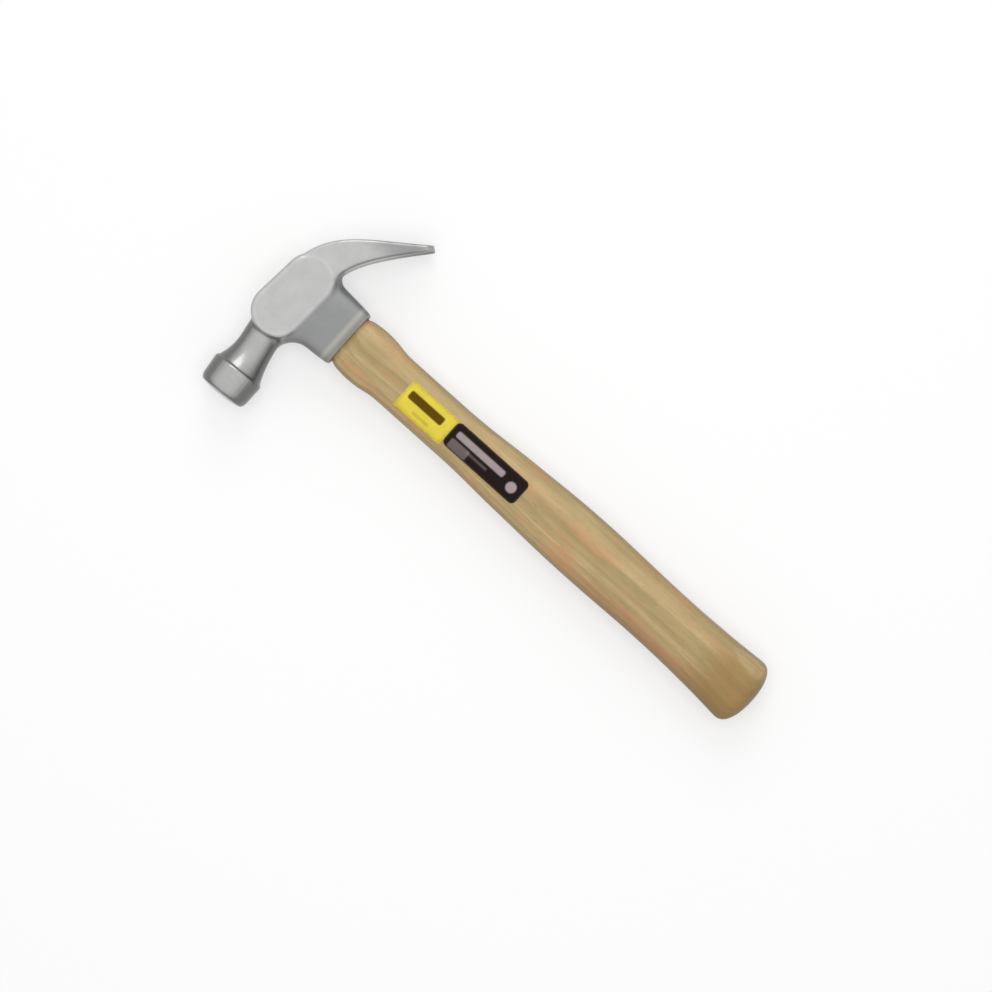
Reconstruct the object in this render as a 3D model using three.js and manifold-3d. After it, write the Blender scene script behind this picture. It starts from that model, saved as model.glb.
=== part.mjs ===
// A curved-claw carpenter's hammer with a wooden handle, in millimetres.
//
// It lies on its side. +X runs along the handle from head to butt, +Y points to the claws and -Y to
// the striking face, and +Z is up. Every place is measured from the rim of the head's socket, on the
// handle's centre line, and the finished group is then moved so that the middle of its underside is
// the origin.

import * as THREE from 'three';
import { mergeVertices } from 'three/addons/utils/BufferGeometryUtils.js';
import Module from 'manifold-3d';

const wasm = await Module();
wasm.setup();

// Head: the block around the eye, with its two flat cheeks
const headHeight = 50.25; // socket rim to the crown, on the handle's centre line
const crownSlope = 0.085; // the crown falls towards the claws
const cheekThickness = 25.4; // flat cheek to flat cheek
const cheekBevel = 2.5; // rounded edge round the cheeks, seen from the side
const cheekBevelDepth = 2.2; // the same edge, seen from the crown
const faceLobeRadius = 11.6; // round end of the cheek at the neck
const faceLobeReach = 13.5; // its centre, from the handle's centre line
const clawLobeRadius = 11.2; // round end of the cheek at the claws
const clawLobeReach = 9.5;

// Poll: the neck, the bell and the striking face, round about an axis that droops and then levels out
const neckDroop = 9.6; // degrees that the neck leans towards the handle
const bellDroop = 3.4; // degrees that the bell and the face lean
const pollDrop = 15.9; // crown to the poll's axis, at the start of the neck
const neckReach = 33.3; // handle's centre line to the thinnest place of the neck
const neckRadius = 9.95;
const neckSweep = 41.0; // radius of the hollow curve from neck to bell
const bellRadius = 14.55;
const bellFrontRadius = 13.9; // the bell tapers slightly to its face
const bellBack = 17.4; // thinnest place of the neck to the bell's back edge, along the axis
const bellLength = 11.2; // back edge to the face's chamfer
const faceRadius = 12.4;
const faceChamfer = 3.1; // length of the chamfer along the axis
const faceCrown = 1.2; // rise of the slightly domed face
const faceFlat = 4.6; // radius of the middle of the face

// Socket: the skirt of the head that grips the handle below the cheeks
const socketRimWidth = 34.2;
const socketTopWidth = 37.6;
const socketRimThickness = 22.6;
const socketTopThickness = 24.3;
const rimRound = 1.7; // length of the rounded rim
const rimInset = 0.8; // how far the rim draws in there
const rimEase = 5.7; // where the rim's easing starts
const easeInset = 0.2;
const underHeadDrop = 25.3; // socket rim to the underside of neck and claws
const faceFillet = 10.8; // fillet from the socket to the neck
const clawFillet = 5.8; // fillet from the socket to the claws

// Eye: the hole for the handle, narrowest in the middle
const eyeRimWidth = 29.0;
const eyeRimThickness = 18.0;
const eyeWaistWidth = 27.2;
const eyeWaistThickness = 16.4;
const eyeWaistHeight = 23.5; // socket rim to the narrowest place
const eyeCrownWidth = 29.2;
const eyeCrownThickness = 18.2;

// Claws: two tapering blades with a nail slot between them
const clawTipReach = 65.4; // handle's centre line to the claws' tips
const clawTipDrop = 51.75; // crown to the claws' tips
const clawTipEdge = 2.4; // thickness of the tips
const clawRootWidth = 24.8;
const clawBellyWidth = 27.6;
const clawTipWidth = 25.4;
const clawTopRound = 1.8;
const clawUnderBevel = 3.0;
const tipCorner = 2.2; // rounded corners of the tips
const slotStart = 0.13; // share of the claws' length before the slot's narrow end
const slotNarrow = 1.3;
const slotWide = 9.0;
const slotBevel = 2.0; // widening of the slot on the handle's side

// Handle
const handleLength = 280.9; // socket rim to the end of the butt
const buttDome = 9.8; // length of the rounded end, beyond the knob's widest place
const buttDomePower = 2.7;
const shoulderStart = 0.5; // the wood swells out just below the rim
const shoulderAt = 12.0; // fullest place of the shoulder
const shoulderWidth = 32.3;
const shoulderThickness = 22.0;
const neckAt = 32.5; // start of the slim neck
const slimWidth = 28.45;
const slimThickness = 20.7;
const swellWidth = 35.2; // the grip's swell
const swellThickness = 24.0;
const waistWidth = 33.6; // the grip's narrower place before the knob
const waistThickness = 23.6;
const knobWidth = 37.8;
const knobThickness = 28.0;
const gripBow = 0.8; // the grip leans this far to the claws' side
const slimPower = 2.5; // how square the neck's section is
const knobPower = 2.4;

// Fits and wedges
const fitGap = 0.25; // clearance between the tenon and the eye
const tenonRecess = 0.4; // tenon and wedges end this far below the crown
const wedgeGap = 0.2; // clearance round each wedge
const kerfDepth = 36.0; // crown to the bottom of the saw cut
const woodWedgeLength = 33.0;
const woodWedgeHead = 3.6; // thickness at the crown
const woodWedgeToe = 0.9;
const steelWedgeLength = 20.0;
const steelWedgeHead = 2.4;
const steelWedgeToe = 0.6;
const steelWedgeWidth = 12.4;
const steelWedgeReach = 6.2; // handle's centre line to each steel wedge

// Labels: two stickers in line on the handle's upper side
const labelGap = 0.12;
const labelThickness = 0.25;
const labelSeam = 0.2; // clearance between the two labels
const labelStart = 39.1; // socket rim to the first label
const labelClawSide = 6.8; // handle's centre line to the labels' edge on the claws' side
const yellowLength = 31.7;
const yellowWidth = 16.7;
const yellowCorner = 0.6;
const blackLength = 49.3;
const blackWidth = 14.6;
const blackCorner = 3.4;

// Places that follow from the sizes above
const crownAt = (y) => -headHeight + crownSlope * y;
const lobeCentre = (reach, radius) => crownAt(reach) + radius + cheekBevel;
const neckAxisHeight = -headHeight + pollDrop;
const tenonTop = -headHeight + tenonRecess;
const knobAt = handleLength - buttDome;

// Solids and meshes

function toSolid(geometry) {
  const bare = geometry.clone();
  bare.deleteAttribute('normal');
  bare.deleteAttribute('uv');
  const merged = mergeVertices(bare, 1e-5);
  return new wasm.Manifold(new wasm.Mesh({
    numProp: 3,
    vertProperties: new Float32Array(merged.attributes.position.array),
    triVerts: new Uint32Array(merged.index.array),
  }));
}

function toGeometry(solid) {
  const mesh = solid.getMesh();
  const geometry = new THREE.BufferGeometry();
  geometry.setAttribute('position', new THREE.BufferAttribute(mesh.vertProperties, 3));
  geometry.setIndex(new THREE.BufferAttribute(mesh.triVerts, 1));
  return geometry;
}

// A closed skin over a row of rings that have the same number of points
function loft(rings) {
  const count = rings[0].length;
  const positions = rings.flat().flatMap((p) => [p.x, p.y, p.z]);
  const index = [];
  for (let r = 0; r < rings.length - 1; r += 1) {
    for (let i = 0; i < count; i += 1) {
      const a = r * count + i;
      const b = r * count + ((i + 1) % count);
      index.push(a, b, b + count, a, b + count, a + count);
    }
  }
  const closeEnd = (ring, first, flip) => {
    const middle = positions.length / 3;
    const centre = ring.reduce((sum, p) => sum.add(p), new THREE.Vector3()).divideScalar(count);
    positions.push(centre.x, centre.y, centre.z);
    for (let i = 0; i < count; i += 1) {
      const a = first + i;
      const b = first + ((i + 1) % count);
      index.push(...(flip ? [middle, a, b] : [middle, b, a]));
    }
  };
  closeEnd(rings[0], 0, false);
  closeEnd(rings[rings.length - 1], (rings.length - 1) * count, true);
  const geometry = new THREE.BufferGeometry();
  geometry.setAttribute('position', new THREE.Float32BufferAttribute(positions, 3));
  geometry.setIndex(index);
  return facingOut(geometry);
}

function facingOut(geometry) {
  const p = geometry.attributes.position;
  const index = geometry.index.array;
  const corner = (i) => new THREE.Vector3().fromBufferAttribute(p, index[i]);
  let volume = 0;
  for (let i = 0; i < index.length; i += 3) {
    volume += corner(i).dot(corner(i + 1).cross(corner(i + 2)));
  }
  if (volume < 0) {
    for (let i = 0; i < index.length; i += 3) {
      [index[i + 1], index[i + 2]] = [index[i + 2], index[i + 1]];
    }
  }
  return geometry;
}

// A value that runs smoothly through [place, value] pairs and turns only at the pairs
function smoothThrough(pairs, place) {
  const last = pairs.length - 1;
  if (place <= pairs[0][0]) return pairs[0][1];
  if (place >= pairs[last][0]) return pairs[last][1];
  const rise = (k) => (pairs[k + 1][1] - pairs[k][1]) / (pairs[k + 1][0] - pairs[k][0]);
  const slope = (k) => {
    if (k === 0 || k === last) return 0;
    const before = rise(k - 1);
    const after = rise(k);
    return before * after <= 0 ? 0 : (2 * before * after) / (before + after);
  };
  const i = pairs.findIndex(([at]) => at > place) - 1;
  const span = pairs[i + 1][0] - pairs[i][0];
  const t = (place - pairs[i][0]) / span;
  const curve = (2 * t - 3) * t * t;
  const start = pairs[i][1] * (curve + 1) + slope(i) * span * t * (1 - t) * (1 - t);
  return start - pairs[i + 1][1] * curve + slope(i + 1) * span * t * t * (t - 1);
}

const mix = (a, b, t) => a + (b - a) * t;

// A squared oval across the handle at place x: power 2 is an ellipse, a higher one is squarer
function ovalRing(x, { faceSide, clawSide, halfThickness, power }, count = 36) {
  const middle = (clawSide - faceSide) / 2;
  const half = (clawSide + faceSide) / 2;
  return Array.from({ length: count }, (_, i) => {
    const angle = (i / count) * 2 * Math.PI;
    const across = Math.sign(Math.cos(angle)) * Math.abs(Math.cos(angle)) ** (2 / power);
    const up = Math.sign(Math.sin(angle)) * Math.abs(Math.sin(angle)) ** (2 / power);
    return new THREE.Vector3(x, middle + half * across, halfThickness * up);
  });
}

const evenOval = (x, width, thickness, power) => ovalRing(x, {
  faceSide: width / 2, clawSide: width / 2, halfThickness: thickness / 2, power,
});

// Head

// The block is the cheeks' outline, two round lobes, raised to the full thickness with rounded edges
function cheekBlock() {
  const outline = new THREE.Shape();
  const faceLobe = lobeCentre(-faceLobeReach, faceLobeRadius);
  const clawLobe = lobeCentre(clawLobeReach, clawLobeRadius);
  outline.absarc(faceLobe, -faceLobeReach, faceLobeRadius, Math.PI, 2 * Math.PI);
  outline.absarc(clawLobe, clawLobeReach, clawLobeRadius, 0, Math.PI);
  const depth = cheekThickness - 2 * cheekBevelDepth;
  const block = new THREE.ExtrudeGeometry(outline, {
    depth, curveSegments: 16, bevelSize: cheekBevel, bevelThickness: cheekBevelDepth, bevelSegments: 3,
  });
  return block.translate(0, 0, -depth / 2);
}

// A point of the poll, from its place along the bent axis and its distance from that axis
function onPollAxis(along, upward, sideways) {
  const straightFrom = bellBack;
  const bent = THREE.MathUtils.clamp(along / straightFrom, 0, 1);
  const lean = THREE.MathUtils.degToRad(mix(neckDroop, bellDroop, bent));
  const meanLean = THREE.MathUtils.degToRad(mix(neckDroop, bellDroop, bent / 2));
  const curved = Math.min(along, straightFrom);
  const straight = Math.max(0, along - straightFrom);
  return new THREE.Vector3(
    curved * Math.sin(meanLean) + straight * Math.sin(lean) + upward * Math.cos(lean),
    -curved * Math.cos(meanLean) - straight * Math.cos(lean) + upward * Math.sin(lean),
    sideways,
  );
}

// The round poll: neck, hollow sweep, bell, chamfer and domed face, from inside the block outwards
function poll() {
  const inside = -faceLobeReach;
  const sweepAt = (s) => neckRadius + neckSweep - Math.sqrt(neckSweep ** 2 - s ** 2);
  const sweepSteps = 9;
  const bellFront = bellBack + bellLength;
  const faceRim = bellFront + faceChamfer;
  const backRound = 1.0;
  const profile = [new THREE.Vector2(0, inside), new THREE.Vector2(neckRadius, inside)];
  for (let i = 0; i <= sweepSteps; i += 1) {
    const s = (i / sweepSteps) * (bellBack - backRound);
    profile.push(new THREE.Vector2(Math.min(sweepAt(s), bellRadius - backRound), s));
  }
  const chamferMiddle = 0.55;
  profile.push(
    new THREE.Vector2(bellRadius - backRound * 0.3, bellBack - backRound * 0.4),
    new THREE.Vector2(bellRadius, bellBack + backRound * 0.5),
    new THREE.Vector2(bellFrontRadius, bellFront),
    new THREE.Vector2(
      mix(bellFrontRadius, faceRadius, chamferMiddle * 0.6), mix(bellFront, faceRim, chamferMiddle)),
    new THREE.Vector2(faceRadius, faceRim),
  );
  const domeSteps = 3;
  for (let i = 1; i <= domeSteps; i += 1) {
    const r = mix(faceRadius, faceFlat, i / domeSteps);
    const rise = faceCrown * (1 - ((r - faceFlat) / (faceRadius - faceFlat)) ** 2);
    profile.push(new THREE.Vector2(r, faceRim + rise));
  }
  profile.push(new THREE.Vector2(0, faceRim + faceCrown));
  const turned = new THREE.LatheGeometry(profile, 40);
  // The lathe turns about +Y: each of its points is laid on the bent axis instead
  const points = turned.attributes.position;
  for (let i = 0; i < points.count; i += 1) {
    const p = onPollAxis(points.getY(i), points.getX(i), points.getZ(i));
    points.setXYZ(i, p.x, p.y, p.z);
  }
  return facingOut(turned).translate(neckAxisHeight, -neckReach, 0);
}

// The socket's skirt: a squared oval that grows from the rim and flares into the neck and claws
function socket() {
  const share = (x) => Math.min(-x / underHeadDrop, 1);
  const halfWidth = (x) => mix(socketRimWidth, socketTopWidth, share(x)) / 2;
  const halfThickness = (x) => mix(socketRimThickness, socketTopThickness, share(x)) / 2;
  const flare = (x, radius) => {
    const into = Math.max(0, -x - (underHeadDrop - radius));
    return radius - Math.sqrt(Math.max(0, radius ** 2 - into ** 2));
  };
  const section = (x, inset) => ovalRing(x, {
    faceSide: halfWidth(x) + flare(x, faceFillet) - inset,
    clawSide: halfWidth(x) + flare(x, clawFillet) - inset,
    halfThickness: halfThickness(x) - inset,
    power: mix(4.6, 3.0, share(x)),
  });
  const rings = [
    section(0, rimInset), section(-rimRound * 0.35, rimInset * 0.55), section(-rimRound, easeInset),
    section(-rimEase, 0),
  ];
  const filletSteps = 7;
  const plain = -(underHeadDrop - faceFillet);
  rings.push(section(plain, 0));
  for (let i = 1; i <= filletSteps; i += 1) {
    const turn = (i / filletSteps) * (Math.PI / 2);
    rings.push(section(plain - faceFillet * Math.sin(turn) * 0.985, 0));
  }
  // The last ring ends inside the block
  const buried = rings[rings.length - 1].map((p) => new THREE.Vector3(neckAxisHeight, p.y, p.z));
  return loft([...rings, buried]);
}

// The eye tapers from the rim to a waist and opens again to the crown, so that the wedged wood locks
const eyeSize = (x, rim, waist, crown) => smoothThrough(
  [[-headHeight, crown], [-eyeWaistHeight, waist], [0, rim]], x);
const eyePower = 3.2;

function eyeRing(x, clearance) {
  const width = eyeSize(x, eyeRimWidth, eyeWaistWidth, eyeCrownWidth) - 2 * clearance;
  const thickness = eyeSize(x, eyeRimThickness, eyeWaistThickness, eyeCrownThickness) - 2 * clearance;
  return evenOval(x, width, thickness, eyePower);
}

const eyeSteps = 8;
const eyePlaces = Array.from({ length: eyeSteps + 1 }, (_, i) => -headHeight * (1 - i / eyeSteps));

function eye() {
  const past = 4;
  const rings = eyePlaces.map((x) => eyeRing(x, 0));
  const beyond = (ring, shift) => ring.map((p) => new THREE.Vector3(p.x + shift, p.y, p.z));
  return loft([beyond(rings[0], -past), ...rings, beyond(rings[rings.length - 1], past)]);
}

// The claws' upper and lower edges in the middle plane, as curves from the block to the tips
const tipX = -headHeight + clawTipDrop;
const clawTop = new THREE.CubicBezierCurve3(
  new THREE.Vector3(-headHeight + 3.0, 16.0, 0),
  new THREE.Vector3(-headHeight + 7.8, 37.9, 0),
  new THREE.Vector3(-headHeight + 25.7, 45.9, 0),
  new THREE.Vector3(tipX - clawTipEdge * 0.45, clawTipReach, 0),
);
const clawUnder = new THREE.CubicBezierCurve3(
  new THREE.Vector3(-underHeadDrop, 18.0, 0),
  new THREE.Vector3(-underHeadDrop - 1.4, 30.3, 0),
  new THREE.Vector3(-headHeight + 41.3, 49.9, 0),
  new THREE.Vector3(tipX + clawTipEdge * 0.45, clawTipReach - clawTipEdge * 0.8, 0),
);
const clawHalfWidth = (t) => smoothThrough(
  [[0, clawRootWidth], [0.5, clawBellyWidth], [1, clawTipWidth]], t) / 2;

// A cross-section of the claws: rounded above, bevelled below
function clawRing(top, under, halfWidth) {
  const down = under.clone().sub(top);
  const height = down.length();
  down.normalize();
  const topRound = Math.min(clawTopRound, height * 0.3);
  const underBevel = Math.min(clawUnderBevel, height * 0.35);
  const steps = 3;
  const side = [];
  for (let i = 0; i <= steps; i += 1) {
    const turn = (i / steps) * (Math.PI / 2);
    side.push([topRound * (1 - Math.cos(turn)), halfWidth - topRound * (1 - Math.sin(turn))]);
  }
  for (let i = 0; i <= steps; i += 1) {
    const turn = (i / steps) * (Math.PI / 2);
    side.push([height - underBevel * (1 - Math.sin(turn)), halfWidth - underBevel * (1 - Math.cos(turn))]);
  }
  const other = side.map(([h, z]) => [h, -z]).reverse();
  return [...side, ...other].map(([h, z]) => {
    const p = top.clone().addScaledVector(down, h);
    return new THREE.Vector3(p.x, p.y, z);
  });
}

function claws() {
  const steps = 22;
  const rootY = 6;
  const root = clawRing(
    new THREE.Vector3(clawTop.v0.x, rootY, 0), new THREE.Vector3(clawUnder.v0.x - 1, rootY, 0),
    clawHalfWidth(0));
  const rings = [root];
  for (let i = 0; i <= steps; i += 1) {
    const t = i / steps;
    const top = clawTop.getPoint(t);
    const under = clawUnder.getPoint(t);
    const toTip = clawTop.v3.distanceTo(top);
    const rounded = Math.max(0, tipCorner - toTip);
    const corner = tipCorner - Math.sqrt(Math.max(0, tipCorner ** 2 - rounded ** 2));
    rings.push(clawRing(top, under, clawHalfWidth(t) - corner));
  }
  return loft(rings);
}

// The nail slot widens from its narrow end to the tips, and is bevelled on the handle's side
function nailSlot() {
  const steps = 14;
  const above = 3;
  const below = 1.5;
  const ring = (t, narrowing, shift) => {
    const top = clawTop.getPoint(t);
    const down = clawUnder.getPoint(t).sub(top);
    const height = down.length();
    down.normalize();
    const along = (t - slotStart) / (1 - slotStart);
    const half = (mix(slotNarrow, slotWide, along) / 2) * narrowing;
    const bevel = slotBevel * Math.min(1, 0.3 + along * 2) * narrowing;
    const shoulder = height * 0.55;
    const under = half + (bevel * (height + below - shoulder)) / (height - shoulder);
    const outline = [[-above, half], [shoulder, half], [height + below, under]];
    const both = [...outline, ...outline.map(([h, z]) => [h, -z]).reverse()];
    return both.map(([h, z]) => {
      const p = top.clone().addScaledVector(down, h).add(shift);
      return new THREE.Vector3(p.x, p.y, z);
    });
  };
  const still = new THREE.Vector3();
  const rings = [ring(slotStart, 0.4, still), ring(slotStart + 0.012, 0.85, still)];
  for (let i = 1; i <= steps; i += 1) {
    rings.push(ring(slotStart + (1 - slotStart) * (i / steps), 1, still));
  }
  rings.push(ring(1, 1, clawTop.getTangent(1).multiplyScalar(6)));
  return loft(rings);
}

function hammerHead() {
  const forged = [poll(), socket(), claws()].reduce(
    (sum, piece) => sum.add(toSolid(piece)), toSolid(cheekBlock()));
  return toGeometry(forged.subtract(toSolid(eye())).subtract(toSolid(nailSlot())));
}

// Handle

// Its width or its thickness at named places: the tenon at the rim, the shoulder's rise, the slim neck,
// the swell, the waist and the knob, with places on the grip as shares of the way from neck to knob
function stationPairs(tenon, shoulder, slim, swell, waist, knob) {
  const grip = (share) => mix(neckAt, knobAt, share);
  return [
    [0, tenon],
    [shoulderStart, tenon],
    [shoulderAt * 0.18, mix(tenon, shoulder, 0.45)],
    [shoulderAt * 0.58, mix(tenon, shoulder, 0.83)],
    [shoulderAt, shoulder],
    [neckAt, slim],
    [grip(0.155), slim],
    [grip(0.352), mix(slim, swell, 0.58)],
    [grip(0.552), swell],
    [grip(0.774), waist],
    [grip(0.908), mix(waist, knob, 0.35)],
    [knobAt, knob],
  ];
}

const widthPairs = stationPairs(
  eyeRimWidth - 2 * fitGap, shoulderWidth, slimWidth, swellWidth, waistWidth, knobWidth);
const thicknessPairs = stationPairs(
  eyeRimThickness - 2 * fitGap, shoulderThickness, slimThickness, swellThickness, waistThickness,
  knobThickness);
const squarenessPairs = [[0, eyePower], [neckAt, slimPower], [knobAt, knobPower]];

// The wood's section at a place below the rim
function woodSection(x) {
  const domed = Math.max(0, x - knobAt) / (handleLength - knobAt);
  const round = Math.sqrt(1 - Math.min(domed, 0.995) ** buttDomePower);
  const half = (smoothThrough(widthPairs, x) / 2) * round;
  const bowStart = mix(neckAt, knobAt, 0.155);
  const along = THREE.MathUtils.clamp((x - bowStart) / (knobAt - bowStart), 0, 1);
  const bow = gripBow * Math.sin(along * Math.PI);
  return {
    faceSide: half - bow,
    clawSide: half + bow,
    halfThickness: (smoothThrough(thicknessPairs, x) / 2) * round,
    power: smoothThrough(squarenessPairs, x),
  };
}

// The places of the wood's rings, from just below the rim to the end of the butt
function gripPlaces() {
  const between = (from, to, steps) => Array.from(
    { length: steps }, (_, i) => mix(from, to, (i + 1) / steps));
  const shoulder = [shoulderStart, ...between(shoulderStart, shoulderAt, 7)];
  const taper = between(shoulderAt, neckAt, 5);
  const grip = between(neckAt, knobAt, 26);
  const domeShares = [0.2, 0.4, 0.58, 0.74, 0.86, 0.94, 0.985, 1];
  const dome = domeShares.map((share) => mix(knobAt, handleLength, share));
  return [...shoulder, ...taper, ...grip, ...dome];
}

// Everything above the crown, cut away so that the wood and its wedges end flush with it
function aboveCrown() {
  const reach = 60;
  const box = new THREE.BoxGeometry(reach, 2 * reach, 2 * reach);
  box.rotateZ(-Math.atan(crownSlope));
  const normal = new THREE.Vector3(-1, crownSlope, 0).normalize();
  return toSolid(box.translate(tenonTop + (normal.x * reach) / 2, (normal.y * reach) / 2, 0));
}

// A tapering bar whose thick end is at the crown: it tapers across one side and stays even across the other
function wedgeBar({ head, toe, length, width, clearance, past }) {
  const top = -headHeight - past;
  const bottom = -headHeight + length;
  const slope = (toe - head) / length;
  const halfTop = (head - slope * past) / 2 + clearance;
  const halfToe = toe / 2 + clearance;
  const outline = new THREE.Shape([
    new THREE.Vector2(top, -halfTop), new THREE.Vector2(bottom + clearance, -halfToe),
    new THREE.Vector2(bottom + clearance, halfToe), new THREE.Vector2(top, halfTop),
  ]);
  const depth = width + 2 * clearance;
  return new THREE.ExtrudeGeometry(outline, { depth, bevelEnabled: false }).translate(0, 0, -depth / 2);
}

const wedgePast = 5;
const quarterTurn = Math.PI / 2;

const woodWedgeBar = (width, length, clearance) => wedgeBar({
  head: woodWedgeHead, toe: woodWedgeToe, length, width, clearance, past: wedgePast,
}).rotateX(quarterTurn);

const steelWedgeBar = (y, clearance) => wedgeBar({
  head: steelWedgeHead, toe: steelWedgeToe, length: steelWedgeLength, width: steelWedgeWidth, clearance,
  past: wedgePast,
}).translate(0, y, 0);

const steelWedgePlaces = [-steelWedgeReach, steelWedgeReach];

function handle() {
  const tenon = eyePlaces.slice(0, -1).map((x) => eyeRing(x, fitGap));
  const above = tenon[0].map((p) => new THREE.Vector3(p.x - wedgePast, p.y, p.z));
  const rim = eyeRing(0, fitGap);
  const wood = gripPlaces().map((x) => ovalRing(x, woodSection(x)));
  let solid = toSolid(loft([above, ...tenon, rim, ...wood])).subtract(aboveCrown());
  solid = solid.subtract(toSolid(woodWedgeBar(eyeCrownWidth + 2, kerfDepth, wedgeGap)));
  for (const y of steelWedgePlaces) {
    solid = solid.subtract(toSolid(steelWedgeBar(y, wedgeGap)));
  }
  return toGeometry(solid);
}

function woodWedge() {
  const width = eyeWaistWidth - 2 * fitGap - 2 * wedgeGap;
  let solid = toSolid(woodWedgeBar(width, woodWedgeLength, 0)).subtract(aboveCrown());
  for (const y of steelWedgePlaces) {
    solid = solid.subtract(toSolid(steelWedgeBar(y, wedgeGap)));
  }
  return toGeometry(solid);
}

const steelWedge = (y) => toGeometry(toSolid(steelWedgeBar(y, 0)).subtract(aboveCrown()));

// Labels

// The height of the handle's upper side at a place
function woodTop(x, y) {
  const { faceSide, clawSide, halfThickness, power } = woodSection(x);
  const across = Math.abs(y - (clawSide - faceSide) / 2) / ((clawSide + faceSide) / 2);
  return halfThickness * (1 - across ** power) ** (1 / power);
}

function liftedPoint(x, y, lift) {
  const step = 0.01;
  const normal = new THREE.Vector3(
    (woodTop(x - step, y) - woodTop(x + step, y)) / (2 * step),
    (woodTop(x, y - step) - woodTop(x, y + step)) / (2 * step), 1).normalize();
  return new THREE.Vector3(x, y, woodTop(x, y)).addScaledVector(normal, lift);
}

// A sticker that follows the wood: each ring runs across its outer side and back along its inner one
function sticker({ start, length, width, corner }) {
  const end = start + length;
  const clawSide = labelClawSide;
  const faceSide = labelClawSide - width;
  const lengthSteps = 14;
  const acrossSteps = 10;
  const places = [start, start + corner * 0.3, start + corner];
  for (let i = 1; i < lengthSteps; i += 1) {
    places.push(mix(start + corner, end - corner, i / lengthSteps));
  }
  places.push(end - corner, end - corner * 0.3, end);
  const rings = places.map((x) => {
    const fromEnd = Math.min(x - start, end - x, corner);
    const inset = corner - Math.sqrt(corner ** 2 - (corner - fromEnd) ** 2);
    const across = Array.from({ length: acrossSteps + 1 }, (_, i) => mix(
      faceSide + inset, clawSide - inset, i / acrossSteps));
    const outer = across.map((y) => liftedPoint(x, y, labelGap + labelThickness));
    const inner = across.map((y) => liftedPoint(x, y, labelGap)).reverse();
    return [...outer, ...inner];
  });
  return stripLoft(rings);
}

const yellowLabel = { start: labelStart, length: yellowLength, width: yellowWidth, corner: yellowCorner };
const blackLabel = {
  start: labelStart + yellowLength + labelSeam, length: blackLength, width: blackWidth, corner: blackCorner,
};

// A closed skin over rings whose two long sides face each other, with the ends closed pair by pair
function stripLoft(rings) {
  const count = rings[0].length;
  const positions = rings.flat().flatMap((p) => [p.x, p.y, p.z]);
  const index = [];
  for (let r = 0; r < rings.length - 1; r += 1) {
    for (let i = 0; i < count; i += 1) {
      const a = r * count + i;
      const b = r * count + ((i + 1) % count);
      index.push(a, b, b + count, a, b + count, a + count);
    }
  }
  for (let i = 0; i < count / 2 - 1; i += 1) {
    const far = (rings.length - 1) * count;
    const back = count - 1 - i;
    index.push(i, back, i + 1, i + 1, back, back - 1);
    index.push(far + i, far + i + 1, far + back, far + i + 1, far + back - 1, far + back);
  }
  const geometry = new THREE.BufferGeometry();
  geometry.setAttribute('position', new THREE.Float32BufferAttribute(positions, 3));
  geometry.setIndex(index);
  return facingOut(geometry);
}

// The finished hammer

const steel = { color: 0xb4b5b6, metalness: 1.0, roughness: 0.34 };
const hickory = { color: 0xc49a66, metalness: 0.0, roughness: 0.42 };
const poplar = { color: 0xd8c39a, metalness: 0.0, roughness: 0.7 };
const wedgeSteel = { color: 0x7d7f82, metalness: 1.0, roughness: 0.5 };
const yellowPaper = { color: 0xf6dc55, metalness: 0.0, roughness: 0.5 };
const blackPaper = { color: 0x1d1713, metalness: 0.0, roughness: 0.45 };

const hammer = new THREE.Group();

// Adds a piece with its own origin at a natural place of it
function addPiece(name, geometry, x, y, z, finish) {
  const mesh = new THREE.Mesh(geometry.translate(-x, -y, -z), new THREE.MeshStandardMaterial(finish));
  mesh.name = name;
  mesh.position.set(x, y, z);
  hammer.add(mesh);
}

addPiece('hammer_head', hammerHead(), -headHeight / 2, 0, 0, steel);
addPiece('handle', handle(), 0, 0, 0, hickory);
addPiece('wood_wedge', woodWedge(), tenonTop, 0, 0, poplar);
steelWedgePlaces.forEach((y, i) => {
  addPiece(`steel_wedge_${i + 1}`, steelWedge(y), tenonTop, y, 0, wedgeSteel);
});
addPiece('yellow_label', sticker(yellowLabel), yellowLabel.start, 0, 0, yellowPaper);
addPiece('black_label', sticker(blackLabel), blackLabel.start, 0, 0, blackPaper);

hammer.updateMatrixWorld(true);
const bounds = new THREE.Box3().setFromObject(hammer, true);
const middle = bounds.getCenter(new THREE.Vector3());
hammer.position.set(-middle.x, -middle.y, -bounds.min.z);

export default hammer;
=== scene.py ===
# %% [markdown]
# A claw hammer, dressed for a portrait
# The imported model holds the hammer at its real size: a forged head, a handle, its wedges and two
# labels. This script keeps every one of those places and sizes. It gives the head a forged surface,
# the handle its turned shape, grain and lacquer, and the labels their print.

import math

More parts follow.
